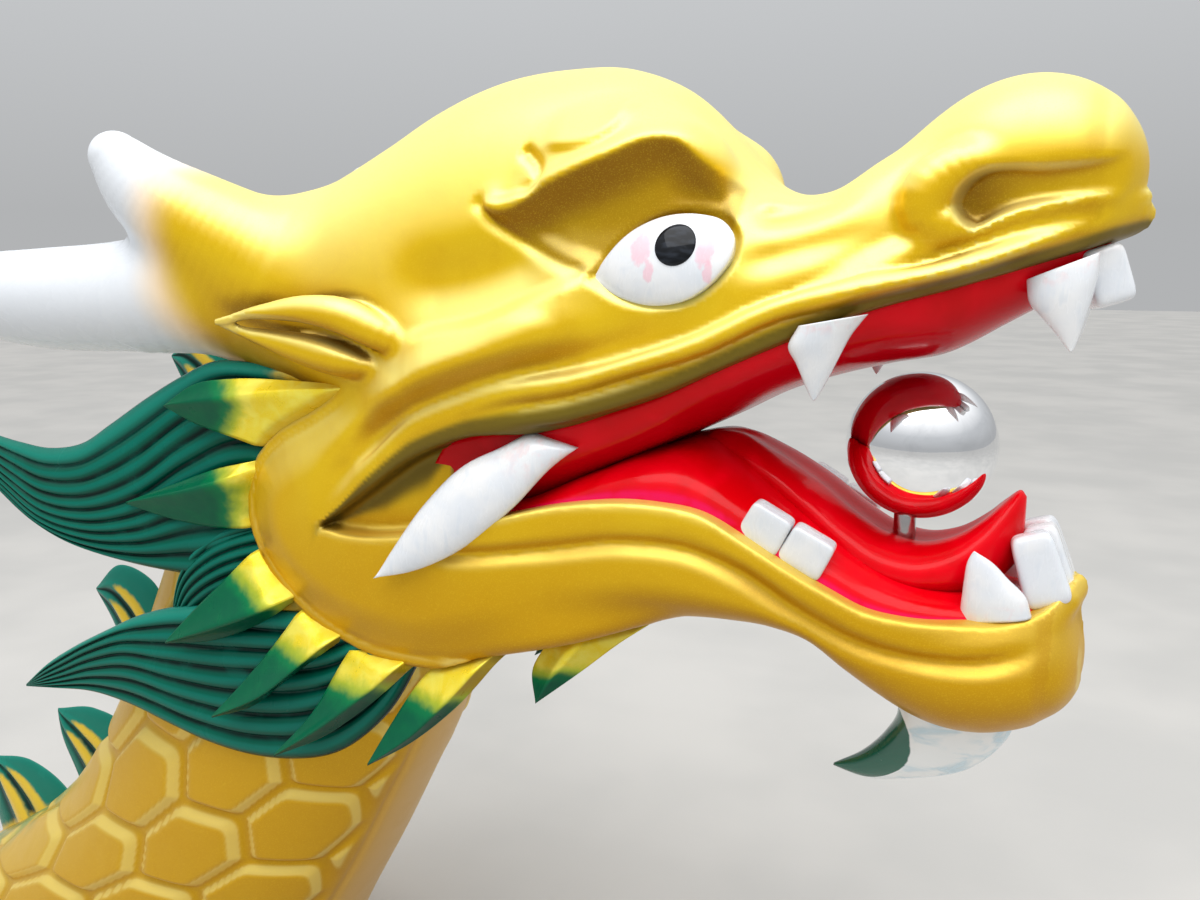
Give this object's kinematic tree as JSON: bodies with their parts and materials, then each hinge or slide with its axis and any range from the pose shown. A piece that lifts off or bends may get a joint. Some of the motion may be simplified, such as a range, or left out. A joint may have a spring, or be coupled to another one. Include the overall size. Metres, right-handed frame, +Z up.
{
  "type": "dragon boat figurehead",
  "caption": "Horned dragon head with open jaws around a mirror ball, on a scaled neck that ends in a flat flange for a boat's bow.",
  "frame": {"origin": "middle of the neck flange's underside, where the figurehead sits on a bow", "axes": "+X forward out through the snout, +Z up, +Y to the dragon's left"},
  "size_m": [1.2282, 0.378, 0.865],
  "materials": {
    "gold": "glossy metallic gold paint under clear coat",
    "horn_white": "glossy white paint that fades to gold at the root",
    "mouth_red": "glossy red paint",
    "tooth_white": "glossy white paint",
    "pupil_black": "glossy black",
    "mane_green": "glossy green paint, lighter on the edges",
    "spike_gold_green": "metallic gold with green airbrushed tips",
    "barb_white_green": "white root with a dark green tip",
    "mirror_chrome": "polished mirror"
  },
  "bodies": {
    "root": {"skull": "gold", "lower_jaw": "gold", "neck": "gold", "base_flange": "gold", "ear_right": "gold", "ear_left": "gold", "horn_right": "horn_white", "horn_left": "horn_white", "palate": "mouth_red", "mouth_floor": "mouth_red", "tongue": "mouth_red", "upper_canine_right": "tooth_white", "upper_canine_left": "tooth_white", "upper_tooth_right": "tooth_white", "upper_tooth_left": "tooth_white", "rear_fang_right": "tooth_white", "rear_fang_left": "tooth_white", "lower_canine_right": "tooth_white", "lower_canine_left": "tooth_white", "lower_molars_right": "tooth_white", "lower_molars_left": "tooth_white", "upper_incisors": "tooth_white", "lower_incisors": "tooth_white", "eye_right": "tooth_white", "eye_left": "tooth_white", "pupil_right": "pupil_black", "pupil_left": "pupil_black", "upper_fin_right": "mane_green", "upper_fin_left": "mane_green", "lower_fin_right": "mane_green", "lower_fin_left": "mane_green", "nape_fin_1": "mane_green", "nape_fin_2": "mane_green", "nape_fin_3": "mane_green", "nape_fin_4": "mane_green", "nape_fin_5": "mane_green", "spike_1_right": "spike_gold_green", "spike_1_left": "spike_gold_green", "spike_2_right": "spike_gold_green", "spike_2_left": "spike_gold_green", "spike_3_right": "spike_gold_green", "spike_3_left": "spike_gold_green", "spike_4_right": "spike_gold_green", "spike_4_left": "spike_gold_green", "spike_5_right": "spike_gold_green", "spike_5_left": "spike_gold_green", "spike_6_right": "spike_gold_green", "spike_6_left": "spike_gold_green", "spike_7_right": "spike_gold_green", "spike_7_left": "spike_gold_green", "chin_barb": "barb_white_green", "ball": "mirror_chrome", "ball_stem": "mirror_chrome"}
  },
  "joints": []
}
